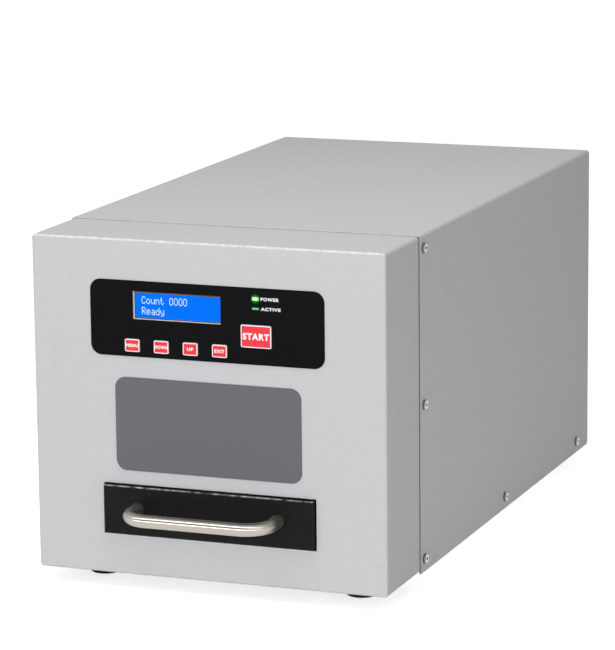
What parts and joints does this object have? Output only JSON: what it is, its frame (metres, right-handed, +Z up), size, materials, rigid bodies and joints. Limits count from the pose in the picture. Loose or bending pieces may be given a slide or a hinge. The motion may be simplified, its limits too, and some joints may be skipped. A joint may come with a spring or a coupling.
{
  "type": "hard drive degausser",
  "caption": "Desktop steel case with a pull-out front drawer that carries a drive into a pulse coil, a key panel with a display, and a rear fan and mains inlet.",
  "frame": {"origin": "middle of the bottom of the whole machine, on the surface the feet stand on", "axes": "+X to the machine's right-hand side as seen from the front, +Y from the front face to the back, +Z up"},
  "size_m": [0.271, 0.5342, 0.2544],
  "materials": {
    "case_paint": "light grey fine-texture powder coat",
    "plated_steel": "zinc plated sheet",
    "screw_steel": "bright plated steel",
    "foot_rubber": "matt black",
    "overlay_black": "fine matt polycarbonate film",
    "plate_grey": "satin film",
    "bezel_dark": "dark lacquered steel",
    "display_blue": "lit blue character display",
    "board_green": "solder mask",
    "switch_black": "moulded",
    "key_red": "red keys with a pale border",
    "lamp_green": "translucent green",
    "drawer_black": "satin black",
    "handle_steel": "polished stainless rod",
    "former_phenolic": "laminate",
    "copper": "enamelled copper",
    "runner_white": "acetal",
    "can_aluminium": "plain drawn can",
    "core_steel": "varnished laminations",
    "module_black": "moulded",
    "fan_black": "moulded",
    "guard_steel": "plated steel",
    "inlet_black": "moulded",
    "pin_brass": "nickel plated brass"
  },
  "bodies": {
    "chassis": {"front_cover": "case_paint", "wrap_cover": "case_paint", "base_pan": "plated_steel", "rear_panel": "plated_steel", "cover_screws": "screw_steel", "rear_screws": "screw_steel", "coil_screws": "screw_steel", "rubber_feet": "foot_rubber", "foot_screws": "screw_steel", "control_overlay": "overlay_black", "name_plate": "plate_grey", "display_bezel": "bezel_dark", "display_glass": "display_blue", "display_board": "board_green", "control_board": "board_green", "board_standoffs": "plated_steel", "key_switches": "switch_black", "power_lamp": "lamp_green", "active_lamp": "lamp_green", "coil_former": "former_phenolic", "coil_winding": "copper", "tray_runners": "runner_white", "drawer_sensor": "switch_black", "capacitors": "can_aluminium", "capacitor_cradle": "former_phenolic", "bus_bars": "copper", "equipment_shelf": "plated_steel", "charger_standoffs": "plated_steel", "charger_board": "board_green", "charger_choke": "core_steel", "charger_relays": "switch_black", "bleed_resistor": "can_aluminium", "transformer_core": "core_steel", "transformer_winding": "copper", "heat_sink": "can_aluminium", "discharge_module": "module_black", "fan_frame": "fan_black", "fan_guard": "guard_steel", "fan_screws": "screw_steel", "mains_inlet": "inlet_black", "inlet_pins": "pin_brass"},
    "drawer": {"drawer_front": "drawer_black", "drawer_handle": "handle_steel", "handle_screws": "screw_steel", "drawer_tray": "drawer_black", "tray_screws": "screw_steel"},
    "key_menu": {"key_menu": "key_red"},
    "key_down": {"key_down": "key_red"},
    "key_up": {"key_up": "key_red"},
    "key_exit": {"key_exit": "key_red"},
    "key_start": {"key_start": "key_red"},
    "power_rocker": {"power_rocker": "inlet_black"},
    "fan_rotor": {"fan_rotor": "fan_black"}
  },
  "joints": [
    {"name": "drawer_slide", "type": "slide", "parent": "chassis", "child": "drawer", "axis": [0, -1, 0], "range_m": [0, 0.115]},
    {"name": "key_menu_press", "type": "slide", "parent": "chassis", "child": "key_menu", "axis": [0, 1, 0], "range_m": [0, 0.0005], "stiffness_N_per_m": 1000, "springref_m": -0.0005},
    {"name": "key_down_press", "type": "slide", "parent": "chassis", "child": "key_down", "axis": [0, 1, 0], "range_m": [0, 0.0005], "stiffness_N_per_m": 1000, "springref_m": -0.0005},
    {"name": "key_up_press", "type": "slide", "parent": "chassis", "child": "key_up", "axis": [0, 1, 0], "range_m": [0, 0.0005], "stiffness_N_per_m": 1000, "springref_m": -0.0005},
    {"name": "key_exit_press", "type": "slide", "parent": "chassis", "child": "key_exit", "axis": [0, 1, 0], "range_m": [0, 0.0005], "stiffness_N_per_m": 1000, "springref_m": -0.0005},
    {"name": "key_start_press", "type": "slide", "parent": "chassis", "child": "key_start", "axis": [0, 1, 0], "range_m": [0, 0.0005], "stiffness_N_per_m": 1000, "springref_m": -0.0005},
    {"name": "rocker_tilt", "type": "hinge", "parent": "chassis", "child": "power_rocker", "pos_m": [0.0831, 0.26162, 0.161], "axis": [1, 0, 0], "range_deg": [-16, 0]},
    {"name": "fan_spin", "type": "hinge", "parent": "chassis", "child": "fan_rotor", "pos_m": [-0.0606, 0.26062, 0.161], "axis": [0, 1, 0], "continuous": true}
  ]
}
